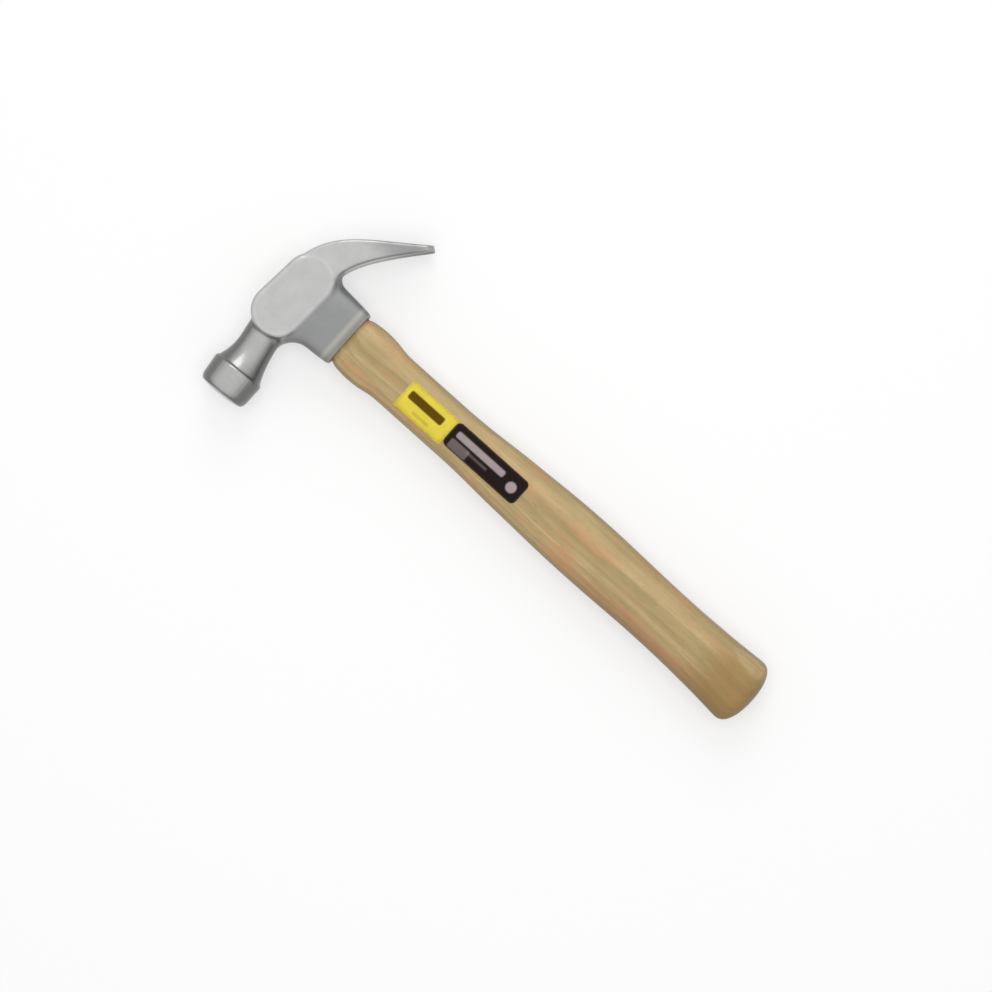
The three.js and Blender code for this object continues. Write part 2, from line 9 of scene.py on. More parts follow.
import bmesh
import bpy
import numpy as np
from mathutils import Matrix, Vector


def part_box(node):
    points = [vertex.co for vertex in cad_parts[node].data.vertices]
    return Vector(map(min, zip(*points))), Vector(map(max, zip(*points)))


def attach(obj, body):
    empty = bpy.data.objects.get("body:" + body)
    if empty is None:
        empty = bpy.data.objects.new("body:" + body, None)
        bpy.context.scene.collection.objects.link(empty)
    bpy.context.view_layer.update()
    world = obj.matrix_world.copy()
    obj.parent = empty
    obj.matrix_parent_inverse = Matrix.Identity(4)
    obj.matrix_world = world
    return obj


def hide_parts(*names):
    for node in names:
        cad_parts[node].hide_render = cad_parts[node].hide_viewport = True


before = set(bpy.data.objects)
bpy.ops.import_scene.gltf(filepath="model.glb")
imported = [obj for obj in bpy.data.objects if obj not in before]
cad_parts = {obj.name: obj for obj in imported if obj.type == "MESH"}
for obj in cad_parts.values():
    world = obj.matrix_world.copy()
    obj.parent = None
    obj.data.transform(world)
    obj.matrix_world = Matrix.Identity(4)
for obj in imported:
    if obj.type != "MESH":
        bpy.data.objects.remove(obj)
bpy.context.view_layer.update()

# %% [markdown]
# Places are named once, from the frame. The hammer lies on its side: X runs from the head to the
# butt, Y points to the claws and Z is up. A maker measures a hammer from the rim of the head's
# socket, on the handle's centre line, so the same zero is found here.

# %% Named places
MM = 0.001
HANDLE_LENGTH = 280.9 * MM
CLAW_TIP_REACH = 65.4 * MM

head_low, head_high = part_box("hammer_head")
handle_low, handle_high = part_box("handle")
rim_x = handle_high.x - HANDLE_LENGTH
centre_y = head_high.y - CLAW_TIP_REACH
middle_z = (head_low.z + head_high.z) / 2
print("socket rim at x", round(rim_x, 4), "centre line y", round(centre_y, 4), "z", round(middle_z, 4))


def place(x, y, z=0.0):
    """A point given in millimetres from the socket's rim, on the handle's centre line."""
    return Vector((rim_x + x * MM, centre_y + y * MM, middle_z + z * MM))


# %% [markdown]
# The hammer is seen from straight above through a long lens, turned so that the handle runs down to
# the right. The camera comes first, because everything is judged through it.

# %% Camera
HANDLE_TURN = math.radians(41.9)
PICTURE_WIDTH = 515.8 * MM
PICTURE_MIDDLE = (110.79, -9.61)
FAR_CLIP = 10.0
LENS, SENSOR = 135.0, 36.0
camera_data = bpy.data.cameras.new("camera")
camera_data.lens, camera_data.sensor_width = LENS, SENSOR
camera = bpy.data.objects.new("camera", camera_data)
bpy.context.scene.collection.objects.link(camera)
camera_height = PICTURE_WIDTH * LENS / SENSOR
camera.location = place(*PICTURE_MIDDLE) + Vector((0, 0, camera_height))
camera.rotation_euler = (0, 0, HANDLE_TURN)
camera_data.clip_end = FAR_CLIP
bpy.context.scene.camera = camera
print("camera height, m:", round(camera_height, 3))

# %% [markdown]
# A studio for one small object: a pale floor, a soft key light from the claws' side and a broad soft
# light overhead, with the world's even light as the fill. The floor and the world are white where the
# camera or a reflection sees them, and stay modest for everything else, so the white never comes from
# too much light.

# %% Small helpers for node trees
bpy.context.scene.view_settings.view_transform = "Standard"


def link(tree, source, target):
    tree.links.new(source, target)


def put(tree, value, socket):
    """Gives a socket its value: a number, vector or colour as it is, another node's output by a link."""
    if isinstance(value, bpy.types.NodeSocket):
        link(tree, value, socket)
    elif isinstance(value, tuple) and len(socket.default_value) > len(value):
        socket.default_value = (*value, 1.0)
    else:
        socket.default_value = value


def math_node(tree, operation, a, b=None, c=None, clamp=False):
    """One Math node. Each input is a number or another node's output."""
    node = tree.nodes.new("ShaderNodeMath")
    node.operation, node.use_clamp = operation, clamp
    for socket, value in zip(node.inputs, (a, b, c)):
        if value is not None:
            put(tree, value, socket)
    return node.outputs[0]


def product(tree, a, b):
    return math_node(tree, "MULTIPLY", a, b)


def seen_white(tree, shader_output, strength=1.0):
    """Adds white where a camera, glossy or transmission ray looks, on top of a shader."""
    path = tree.nodes.new("ShaderNodeLightPath")
    looked_at = math_node(tree, "MAXIMUM", path.outputs["Is Camera Ray"], path.outputs["Is Glossy Ray"])
    looked_at = math_node(tree, "MAXIMUM", looked_at, path.outputs["Is Transmission Ray"])
    glow = tree.nodes.new("ShaderNodeEmission")
    link(tree, product(tree, looked_at, strength), glow.inputs["Strength"])
    add = tree.nodes.new("ShaderNodeAddShader")
    link(tree, shader_output, add.inputs[0])
    link(tree, glow.outputs[0], add.inputs[1])
    return add.outputs[0]


# %% World
WORLD_LIGHT = 0.42
world = bpy.data.worlds.new("studio")
bpy.context.scene.world = world
world.use_nodes = True
world_tree = world.node_tree
background = world_tree.nodes["Background"]
background.inputs["Color"].default_value = (1, 1, 1, 1)
background.inputs["Strength"].default_value = WORLD_LIGHT
world_out = world_tree.nodes["World Output"]
link(world_tree, seen_white(world_tree, background.outputs[0], 1 - WORLD_LIGHT), world_out.inputs["Surface"])
print("world light:", WORLD_LIGHT)

# %% Floor
FLOOR_HALF = 3.0
FLOOR_GLOW = 0.50
FLOOR_GREY = (0.62, 0.62, 0.62, 1)
floor_mesh = bpy.data.meshes.new("floor")
floor_mesh.from_pydata([(-FLOOR_HALF, -FLOOR_HALF, 0), (FLOOR_HALF, -FLOOR_HALF, 0),
                        (FLOOR_HALF, FLOOR_HALF, 0), (-FLOOR_HALF, FLOOR_HALF, 0)], [], [(0, 1, 2, 3)])
floor = bpy.data.objects.new("floor", floor_mesh)
bpy.context.scene.collection.objects.link(floor)
floor_material = bpy.data.materials.new("floor_paper")
floor_material.use_nodes = True
floor_tree = floor_material.node_tree
floor_tree.nodes.clear()
matt = floor_tree.nodes.new("ShaderNodeBsdfDiffuse")
matt.inputs["Color"].default_value = FLOOR_GREY
floor_out = floor_tree.nodes.new("ShaderNodeOutputMaterial")
link(floor_tree, seen_white(floor_tree, matt.outputs[0], FLOOR_GLOW), floor_out.inputs["Surface"])
floor_mesh.materials.append(floor_material)
print("floor, m across:", 2 * FLOOR_HALF)


# %% Lamps
def soft_lamp(name, where, side, power, aim, mirrored=True):
    """A square area lamp, its side in metres, that looks at a point of the hammer."""
    data = bpy.data.lights.new(name, "AREA")
    data.shape, data.size, data.size_y, data.energy = "RECTANGLE", side, side, power
    lamp = bpy.data.objects.new(name, data)
    lamp.location = where
    lamp.rotation_euler = (Vector(aim) - Vector(where)).to_track_quat("-Z", "Y").to_euler()
    lamp.visible_glossy = mirrored
    bpy.context.scene.collection.objects.link(lamp)
    return lamp


head_aim = place(-35, -20)
grip_aim = place(110, 0)
KEY_FROM_HEAD, KEY_SIDE, KEY_WATTS = Vector((-0.75, 1.2, 1.2)), 1.0, 5.4
OVER_GRIP, OVERHEAD_SIDE, OVERHEAD_WATTS = Vector((0, 0, 1.6)), 1.3, 9.2
key = soft_lamp("key", head_aim + KEY_FROM_HEAD, KEY_SIDE, KEY_WATTS, grip_aim)
overhead = soft_lamp("overhead", grip_aim + OVER_GRIP, OVERHEAD_SIDE, OVERHEAD_WATTS, grip_aim,
                     mirrored=False)
print("lamps, W:", {lamp.name: round(lamp.data.energy, 1) for lamp in (key, overhead)})

# %% [markdown]
# The head is one forging. Its cheeks and claws are ground and polished, its neck and bell are turned,
# its socket keeps a rolled skin, and every edge has been eased on a belt. The CAD head has the right
# form but sharp junctions and flat facets. A voxel remesh gives it an even skin, a light smoothing
# eases each edge by about half a millimetre, and a stronger one, kept to the places where two forms
# meet, draws the junctions into the hollow blends that a forging die leaves.

# %% Forged head: an even skin over the CAD form
VOXEL = 0.48 * MM
MERGE_GAP = 1e-6
SMOOTH_SHARE = 0.5
EDGE_PASSES = 5
BLEND_PASSES = 70


def merged_copy(node, name):
    """A new object with a CAD node's mesh, its loose triangles joined."""
    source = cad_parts[node]
    mesh = source.data.copy()
    mesh.materials.clear()
    copy = bpy.data.objects.new(name, mesh)
    bpy.context.scene.collection.objects.link(copy)
    work = bmesh.new()
    work.from_mesh(mesh)
    bmesh.ops.remove_doubles(work, verts=work.verts, dist=MERGE_GAP)
    work.to_mesh(mesh)
    work.free()
    return copy


def applied(thing):
    """Turns a piece with modifiers into a plain mesh without them."""
    bpy.context.view_layer.update()
    graph = bpy.context.evaluated_depsgraph_get()
    mesh = bpy.data.meshes.new_from_object(thing.evaluated_get(graph), depsgraph=graph)
    thing.modifiers.clear()
    thing.data = mesh
    return thing


head = merged_copy("hammer_head", "forged_head")
skin = head.modifiers.new("skin", "REMESH")
skin.mode, skin.voxel_size, skin.use_smooth_shade = "VOXEL", VOXEL, True
ease = head.modifiers.new("ease", "SMOOTH")
ease.factor, ease.iterations = SMOOTH_SHARE, EDGE_PASSES
applied(head)
print("head faces:", len(head.data.polygons))


# %% Forged head: blends where two forms meet
def smooth_step(values, low, high):
    """0 below a low value and 1 above a high one, with a smooth climb between them."""
    t = np.clip((values - low) / (high - low), 0, 1)
    return t * t * (3 - 2 * t)


def to_segment(points, start, end):
    """Each point's share along a line between two places, and its distance from that line."""
    a, b = np.array(start), np.array(end)
    along = np.clip(((points - a) @ (b - a)) / ((b - a) @ (b - a)), 0, 1)
    return along, np.linalg.norm(points - (a + along[:, None] * (b - a)), axis=1)


def near_segment(points, start, end, reach):
    """1 on a line between two places, falling smoothly to 0 at a distance."""
    return smooth_step(1 - to_segment(points, start, end)[1] / reach, 0, 1)


def local_points(piece):
    """A piece's points in millimetres from the socket's rim."""
    points = np.empty(len(piece.data.vertices) * 3)
    piece.data.vertices.foreach_get("co", points)
    return (points.reshape(-1, 3) - np.array(place(0, 0))) / MM


BLEND_FROM = 0.01
# Each row: the start, the end and the reach of a junction's blend
BLENDS = (
    ((-36.5, -28, 10), (-36.5, -28, -10), 9),
    ((-26, -28, 7), (-26, -28, -7), 7),
    ((-45.5, -25.5, 7), (-45.5, -25.5, -7), 6),
    ((-23.5, -14, 12.5), (-22.5, 14, 12.5), 4.5),
    ((-23.5, -14, -12.5), (-22.5, 14, -12.5), 4.5),
    ((-26.5, 20.5, 12), (-26.5, 20.5, -12), 6),
    ((-36.5, 21, 12.6), (-44.5, 17, 12.6), 4),
    ((-36.5, 21, -12.6), (-44.5, 17, -12.6), 4),
)
head_points = local_points(head)
blend = np.zeros(len(head_points))
for start, end, reach in BLENDS:
    blend = np.maximum(blend, near_segment(head_points, start, end, reach))
group = head.vertex_groups.new(name="blend")
blended = np.flatnonzero(blend > BLEND_FROM)
for index in blended:
    group.add([int(index)], float(blend[index]), "REPLACE")
draw_in = head.modifiers.new("draw_in", "SMOOTH")
draw_in.factor, draw_in.iterations, draw_in.vertex_group = SMOOTH_SHARE, BLEND_PASSES, "blend"
applied(head)
head.vertex_groups.clear()
print("blended points:", len(blended), "of", len(head_points))

# %% [markdown]
# The handle is one stick of hickory, shaped on a copying lathe. Its section is a squared oval whose
# width and thickness change slowly along it, so a rule makes it better than a hand could. A Geometry
# Nodes tree bends a flat grid into the stick: one side of the grid runs along the handle and the
# other round it. Three curves give the width, the thickness and the squareness at each place.

# %% Handle: the stations that the wood passes through
TENON_TOP, NECK_AT, KNOB_AT = -51.5, 32.5, 271.1
GRIP = KNOB_AT - NECK_AT
# Each row: place below the rim, width, thickness, squareness, all in millimetres but the last
WOOD = (
    (TENON_TOP, 28.5, 17.4, 3.2), (-23.5, 26.5, 15.7, 3.2), (0.0, 28.2, 17.2, 3.2), (0.6, 28.4, 17.4, 3.15),
    (2.2, 30.2, 19.5, 3.1), (7.0, 31.7, 21.2, 2.95), (12.0, 32.3, 22.0, 2.8), (NECK_AT, 28.45, 20.7, 2.5),
    (NECK_AT + 0.155 * GRIP, 28.45, 20.7, 2.48), (NECK_AT + 0.352 * GRIP, 32.4, 22.6, 2.46),
    (NECK_AT + 0.552 * GRIP, 35.2, 24.0, 2.44), (NECK_AT + 0.774 * GRIP, 33.6, 23.6, 2.42),
    (NECK_AT + 0.908 * GRIP, 35.1, 25.1, 2.41), (KNOB_AT, 37.8, 28.0, 2.4),
)
WIDEST, SQUAREST = 40.0, 4.0
BUTT_POWER = 2.7
GRIP_BOW = 0.8
BOW_FROM = NECK_AT + 0.155 * GRIP
print("handle stations:", len(WOOD), "grip, mm:", round(GRIP, 1))


def geometry_tree(name, inputs):
    """A Geometry Nodes tree with a mesh output and named inputs, each (name, type, default)."""
    tree = bpy.data.node_groups.new(name, "GeometryNodeTree")
    for label, kind, default in inputs:
        socket = tree.interface.new_socket(label, in_out="INPUT", socket_type=kind)
        if default is not None:
            socket.default_value = default
    tree.interface.new_socket("Geometry", in_out="OUTPUT", socket_type="NodeSocketGeometry")
    return tree, tree.nodes.new("NodeGroupInput"), tree.nodes.new("NodeGroupOutput")


def float_curve(tree, factor, points):
    """A Float Curve node through (place, value) points, both from 0 to 1, without overshoot."""
    node = tree.nodes.new("ShaderNodeFloatCurve")
    curve = node.mapping.curves[0]
    curve.points[0].location, curve.points[1].location = points[0], points[-1]
    for point in points[1:-1]:
        curve.points.new(*point)
    for point in curve.points:
        point.handle_type = "AUTO_CLAMPED"
    node.mapping.update()
    link(tree, factor, node.inputs["Value"])
    return node.outputs["Value"]


def grid_shares(tree, along, around):
    """A unit grid, and each point's share along it and across it, from 0 to 1."""
    grid = tree.nodes.new("GeometryNodeMeshGrid")
    link(tree, along, grid.inputs["Vertices X"])
    link(tree, around, grid.inputs["Vertices Y"])
    where = tree.nodes.new("GeometryNodeInputPosition")
    split = tree.nodes.new("ShaderNodeSeparateXYZ")
    link(tree, where.outputs[0], split.inputs[0])
    return (grid.outputs["Mesh"], math_node(tree, "ADD", split.outputs["X"], 0.5),
            math_node(tree, "ADD", split.outputs["Y"], 0.5))


def ending(tree, mesh, out, material):
    """The last nodes of every tree here: smooth shading, real geometry and the material."""
    smooth = tree.nodes.new("GeometryNodeSetShadeSmooth")
    real = tree.nodes.new("GeometryNodeRealizeInstances")
    paint = tree.nodes.new("GeometryNodeSetMaterial")
    link(tree, mesh, smooth.inputs["Geometry"])
    link(tree, smooth.outputs[0], real.inputs["Geometry"])
    link(tree, real.outputs[0], paint.inputs["Geometry"])
    link(tree, material, paint.inputs["Material"])
    link(tree, paint.outputs[0], out.inputs["Geometry"])


def moved_to(tree, mesh, x, y, z):
    """A Set Position node that puts each point at x, y, z."""
    point = tree.nodes.new("ShaderNodeCombineXYZ")
    for socket, value in zip(point.inputs, (x, y, z)):
        put(tree, value, socket)
    move = tree.nodes.new("GeometryNodeSetPosition")
    link(tree, mesh, move.inputs["Geometry"])
    link(tree, point.outputs[0], move.inputs["Position"])
    return move.outputs[0]


# %% Handle: the tree that shapes the stick
def stick_tree():
    """Bends a grid into the handle: rings along it, closed by the domed butt."""
    tree, given, out = geometry_tree("turned_stick", [
        ("Rings", "NodeSocketInt", 460), ("Sides", "NodeSocketInt", 120),
        ("Top X", "NodeSocketFloat", place(TENON_TOP, 0).x),
        ("Knob X", "NodeSocketFloat", place(KNOB_AT, 0).x),
        ("Butt X", "NodeSocketFloat", handle_high.x), ("Centre Y", "NodeSocketFloat", centre_y),
        ("Centre Z", "NodeSocketFloat", middle_z), ("Bow", "NodeSocketFloat", GRIP_BOW * MM),
        ("Wood", "NodeSocketMaterial", None)])
    sockets = given.outputs
    mesh, along, around = grid_shares(tree, sockets["Rings"], sockets["Sides"])
    # The rings past the straight share turn through the quarter circle of the domed butt
    straight_share = 0.93
    dome_share = 1 - straight_share
    straight = math_node(tree, "DIVIDE", along, straight_share, clamp=True)
    into_dome = math_node(tree, "MULTIPLY_ADD", along, 1 / dome_share, -straight_share / dome_share,
                          clamp=True)
    turn = product(tree, into_dome, math.pi / 2)
    round_in = math_node(tree, "MAXIMUM", math_node(tree, "COSINE", turn), 0.0)
    dome = math_node(tree, "POWER", math_node(tree, "SINE", turn), 2 / BUTT_POWER)
    body = math_node(tree, "SUBTRACT", sockets["Knob X"], sockets["Top X"])
    x = math_node(tree, "MULTIPLY_ADD", straight, body, sockets["Top X"])
    dome_length = math_node(tree, "SUBTRACT", sockets["Butt X"], sockets["Knob X"])
    x = math_node(tree, "MULTIPLY_ADD", dome, dome_length, x)
    span = KNOB_AT - TENON_TOP
    share = [(at - TENON_TOP) / span for at, *_ in WOOD]
    width, thick, square = (
        float_curve(tree, straight, [(t, row[column] / largest) for t, row in zip(share, WOOD)])
        for column, largest in ((1, WIDEST), (2, WIDEST), (3, SQUAREST)))
    power = math_node(tree, "DIVIDE", 2 / SQUAREST, square)
    angle = product(tree, around, 2 * math.pi)

    def squared(kind):
        value = math_node(tree, kind, angle)
        size = math_node(tree, "POWER", math_node(tree, "ABSOLUTE", value), power)
        return product(tree, math_node(tree, "SIGN", value), size)

    def half(size, direction):
        scaled = product(tree, product(tree, size, round_in), WIDEST * MM / 2)
        return product(tree, scaled, direction)

    bow_start = (BOW_FROM - TENON_TOP) / span
    bow_turn = math_node(tree, "MULTIPLY_ADD", straight, math.pi / (1 - bow_start),
                         -bow_start * math.pi / (1 - bow_start))
    bow_turn = math_node(tree, "MAXIMUM", bow_turn, 0.0)
    bow = product(tree, math_node(tree, "SINE", bow_turn), sockets["Bow"])
    bowed = math_node(tree, "ADD", half(width, squared("COSINE")), bow)
    y = math_node(tree, "ADD", bowed, sockets["Centre Y"])
    z = math_node(tree, "ADD", half(thick, squared("SINE")), sockets["Centre Z"])
    close = tree.nodes.new("GeometryNodeMergeByDistance")
    close.inputs["Distance"].default_value = MERGE_GAP
    link(tree, moved_to(tree, mesh, x, y, z), close.inputs["Geometry"])
    ending(tree, close.outputs[0], out, sockets["Wood"])
    return tree


def grown(name, tree, values):
    """A plain mesh object grown by a tree. Each modifier input is set by its socket's identifier."""
    thing = bpy.data.objects.new(name, bpy.data.meshes.new(name))
    bpy.context.scene.collection.objects.link(thing)
    modifier = thing.modifiers.new("grow", "NODES")
    modifier.node_group = tree
    for item in tree.interface.items_tree:
        if item.item_type == "SOCKET" and item.in_out == "INPUT" and item.name in values:
            modifier[item.identifier] = values[item.name]
    applied(thing)
    thing.data.name = name
    return thing


def facing_out(thing):
    """Turns a closed mesh's faces outwards if they all point in."""
    work = bmesh.new()
    work.from_mesh(thing.data)
    if work.calc_volume(signed=True) < 0:
        bmesh.ops.reverse_faces(work, faces=work.faces)
    work.to_mesh(thing.data)
    volume = work.calc_volume(signed=True)
    work.free()
    return volume


hickory = bpy.data.materials.new("hickory")
stick = grown("hickory_handle", stick_tree(), {"Wood": hickory})
print("handle points:", len(stick.data.vertices))

# %% [markdown]
# At the top the tenon was sawn, wedged and then cut flush with the crown. A plane cuts and closes
# the mesh there, and the saw cut and the slits of the steel wedges are taken out with a boolean, so
# that the wedges of the frame sit in real gaps.

# %% Handle: flush cut and saw kerf
CROWN_X, CROWN_SLOPE = -49.85, 0.085
CUT_SNAP = 1e-7
KERF_DEPTH, KERF_HEAD, KERF_TOE, KERF_WIDTH = 36.0, 4.1, 1.3, 40.0
STEEL_DEPTH, STEEL_HEAD, STEEL_TOE, STEEL_WIDTH, STEEL_REACH = 20.3, 2.9, 1.0, 12.9, 6.2


def cut_flush(thing):
    """Cuts the tenon in the crown's plane and closes the cut."""
    work = bmesh.new()
    work.from_mesh(thing.data)
    geometry = work.verts[:] + work.edges[:] + work.faces[:]
    cut = bmesh.ops.bisect_plane(work, geom=geometry, plane_co=place(CROWN_X, 0), dist=CUT_SNAP,
                                 plane_no=(-1, CROWN_SLOPE, 0), clear_outer=True)
    rim = [item for item in cut["geom_cut"] if isinstance(item, bmesh.types.BMEdge)]
    bmesh.ops.edgeloop_fill(work, edges=rim)
    bmesh.ops.recalc_face_normals(work, faces=work.faces)
    work.to_mesh(thing.data)
    work.free()


def tapered_bar(name, head, toe, depth, width, y, across):
    """A closed wedge whose thick end is above the crown: it tapers in Y, or in Z where across is true."""
    above = 3.0
    top, bottom = CROWN_X - above, CROWN_X + depth
    head_half = (head + (head - toe) * above / depth) / 2
    points = []
    for x, half in ((top, head_half), (bottom, toe / 2)):
        for side in (-1, 1):
            for end in (-1, 1):
                dy, dz = (end * width / 2, side * half) if across else (side * half, end * width / 2)
                points.append(place(x, y + dy, dz))
    mesh = bpy.data.meshes.new(name)
    mesh.from_pydata(points, [], [(0, 1, 3, 2), (4, 6, 7, 5), (0, 2, 6, 4),
                                  (1, 5, 7, 3), (0, 4, 5, 1), (2, 3, 7, 6)])
    work = bmesh.new()
    work.from_mesh(mesh)
    bmesh.ops.recalc_face_normals(work, faces=work.faces)
    work.to_mesh(mesh)
    work.free()
    bar = bpy.data.objects.new(name, mesh)
    bpy.context.scene.collection.objects.link(bar)
    return bar


def carve(thing, cutters):
    """Takes the cutters out of a piece with exact booleans, and then deletes them."""
    for cutter in cutters:
        step = thing.modifiers.new("carve", "BOOLEAN")
        step.operation, step.solver, step.object = "DIFFERENCE", "EXACT", cutter
    applied(thing)
    for cutter in cutters:
        bpy.data.objects.remove(cutter)


def dressed(thing, material):
    """Gives the whole piece one material, the cut faces too."""
    thing.data.materials.clear()
    thing.data.materials.append(material)
    thing.data.polygons.foreach_set("material_index", [0] * len(thing.data.polygons))


cut_flush(stick)
cutters = [tapered_bar("kerf", KERF_HEAD, KERF_TOE, KERF_DEPTH, KERF_WIDTH, 0.0, True)]
for name, y in (("slit_face", -STEEL_REACH), ("slit_claw", STEEL_REACH)):
    cutters.append(tapered_bar(name, STEEL_HEAD, STEEL_TOE, STEEL_DEPTH, STEEL_WIDTH, y, False))
carve(stick, cutters)
dressed(stick, hickory)
print("handle volume, cm3:", round(facing_out(stick) * 1e6, 1))

# %% [markdown]
# The two labels are thin printed films in line on the upper side of the neck. Each is a grid that is
# dropped onto the wood by rays and then given its thickness, so it follows every swell of the handle.
# One tree makes both, from the places of their ends, their sides and the radius of their corners.

# %% Labels: the tree that lays a film on the wood
LABEL_LIFT, LABEL_FILM = 0.05, 0.14
HOVER = 0.03
YELLOW = {"Start X": 39.1, "End X": 70.85, "Face Y": -9.9, "Claw Y": 6.8, "Corner": 0.7}
BLACK = {"Start X": 70.95, "End X": 120.3, "Face Y": -7.8, "Claw Y": 6.8, "Corner": 3.0}


def film_tree():
    """Drops a grid with rounded corners onto the wood, and gives it a thickness."""
    tree, given, out = geometry_tree("laid_film", [
        ("Wood", "NodeSocketObject", None), ("Film", "NodeSocketMaterial", None),
        ("Start X", "NodeSocketFloat", 0.0), ("End X", "NodeSocketFloat", 0.0),
        ("Face Y", "NodeSocketFloat", 0.0), ("Claw Y", "NodeSocketFloat", 0.0),
        ("Corner", "NodeSocketFloat", 0.001), ("Lift", "NodeSocketFloat", LABEL_LIFT * MM),
        ("Thickness", "NodeSocketFloat", LABEL_FILM * MM),
        ("Along", "NodeSocketInt", 180), ("Across", "NodeSocketInt", 60)])
    sockets = given.outputs
    mesh, along, across = grid_shares(tree, sockets["Along"], sockets["Across"])
    length = math_node(tree, "SUBTRACT", sockets["End X"], sockets["Start X"])
    x = math_node(tree, "MULTIPLY_ADD", along, length, sockets["Start X"])
    from_start = math_node(tree, "SUBTRACT", x, sockets["Start X"])
    from_end = math_node(tree, "SUBTRACT", sockets["End X"], x)
    to_end = math_node(tree, "MINIMUM", math_node(tree, "MINIMUM", from_start, from_end), sockets["Corner"])
    rest = math_node(tree, "SUBTRACT", sockets["Corner"], to_end)
    chord = math_node(tree, "SUBTRACT", math_node(tree, "POWER", sockets["Corner"], 2.0),
                      math_node(tree, "POWER", rest, 2.0))
    root = math_node(tree, "SQRT", math_node(tree, "MAXIMUM", chord, 0.0))
    inset = math_node(tree, "SUBTRACT", sockets["Corner"], root)
    low = math_node(tree, "ADD", sockets["Face Y"], inset)
    high = math_node(tree, "SUBTRACT", sockets["Claw Y"], inset)
    y = math_node(tree, "MULTIPLY_ADD", across, math_node(tree, "SUBTRACT", high, low), low)
    hover = moved_to(tree, mesh, x, y, handle_high.z + HOVER)
    wood = tree.nodes.new("GeometryNodeObjectInfo")
    link(tree, sockets["Wood"], wood.inputs["Object"])
    ray = tree.nodes.new("GeometryNodeRaycast")
    link(tree, wood.outputs["Geometry"], ray.inputs["Target Geometry"])
    ray.inputs["Ray Direction"].default_value = (0, 0, -1)
    split = tree.nodes.new("ShaderNodeSeparateXYZ")
    link(tree, ray.outputs["Hit Position"], split.inputs[0])
    laid = tree.nodes.new("GeometryNodeSetPosition")
    landing = tree.nodes.new("ShaderNodeCombineXYZ")
    link(tree, split.outputs["X"], landing.inputs["X"])
    link(tree, split.outputs["Y"], landing.inputs["Y"])
    link(tree, math_node(tree, "ADD", split.outputs["Z"], sockets["Lift"]), landing.inputs["Z"])
    link(tree, hover, laid.inputs["Geometry"])
    link(tree, landing.outputs[0], laid.inputs["Position"])
    thicken = tree.nodes.new("GeometryNodeExtrudeMesh")
    thicken.inputs["Individual"].default_value = False
    link(tree, laid.outputs[0], thicken.inputs["Mesh"])
    link(tree, sockets["Thickness"], thicken.inputs["Offset Scale"])
    under = tree.nodes.new("GeometryNodeFlipFaces")
    link(tree, laid.outputs[0], under.inputs["Mesh"])
    both = tree.nodes.new("GeometryNodeJoinGeometry")
    link(tree, thicken.outputs["Mesh"], both.inputs[0])
    link(tree, under.outputs[0], both.inputs[0])
    close = tree.nodes.new("GeometryNodeMergeByDistance")
    close.inputs["Distance"].default_value = MERGE_GAP
    link(tree, both.outputs[0], close.inputs["Geometry"])
    ending(tree, close.outputs[0], out, sockets["Film"])
    return tree


def label_values(sizes, film):
    """A label's sizes in the frame: ends and sides are places, and the corner is a plain length."""
    origin = {"Start X": rim_x, "End X": rim_x, "Face Y": centre_y, "Claw Y": centre_y, "Corner": 0.0}
    values = {name: origin[name] + size * MM for name, size in sizes.items()}
    return {**values, "Wood": stick, "Film": film}


films = film_tree()
yellow_film = bpy.data.materials.new("yellow_film")
black_film = bpy.data.materials.new("black_film")
yellow_label = grown("yellow_film_label", films, label_values(YELLOW, yellow_film))
black_label = grown("black_film_label", films, label_values(BLACK, black_film))
for label in (yellow_label, black_label):
    print(label.name, "volume, mm3:", round(facing_out(label) * 1e9, 1))

# %% [markdown]
# All shaders read one set of coordinates: millimetres from the socket's rim. Three effects serve more
# than one material, so each of them is a node group: the grain of sawn wood, the marks that handling
# leaves, and a printed bar. What a group gives out is always a mask that changes from place to place.

# %% Helpers for shaders
def shader_group(name, inputs, outputs):
    """A shader node group with named inputs, each (name, type, default), and named mask outputs."""
    tree = bpy.data.node_groups.new(name, "ShaderNodeTree")
    for label, kind, default in inputs:
        socket = tree.interface.new_socket(label, in_out="INPUT", socket_type=kind)
        if default is not None:
            socket.default_value = default
    for label in outputs:
        tree.interface.new_socket(label, in_out="OUTPUT", socket_type="NodeSocketFloat")
    return tree, tree.nodes.new("NodeGroupInput").outputs, tree.nodes.new("NodeGroupOutput").inputs


def use_group(tree, group, values):
    """Places a node group with its own values in a material."""
    node = tree.nodes.new("ShaderNodeGroup")
    node.node_tree = group
    for label, value in values.items():
        put(tree, value, node.inputs[label])
    return node.outputs


def split_xyz(tree, vector):
    node = tree.nodes.new("ShaderNodeSeparateXYZ")
    link(tree, vector, node.inputs[0])
    return node.outputs


def stretched(tree, vector, scale):
    """A vector with each of its parts multiplied, to draw a texture out along the small ones."""
    node = tree.nodes.new("ShaderNodeVectorMath")
    node.operation = "MULTIPLY"
    link(tree, vector, node.inputs[0])
    node.inputs[1].default_value = scale
    return node.outputs[0]


def noise(tree, vector, detail=2.0, roughness=0.5):
    node = tree.nodes.new("ShaderNodeTexNoise")
    node.inputs["Scale"].default_value = 1.0
    node.inputs["Detail"].default_value = detail
    node.inputs["Roughness"].default_value = roughness
    link(tree, vector, node.inputs["Vector"])
    return node.outputs["Fac"]


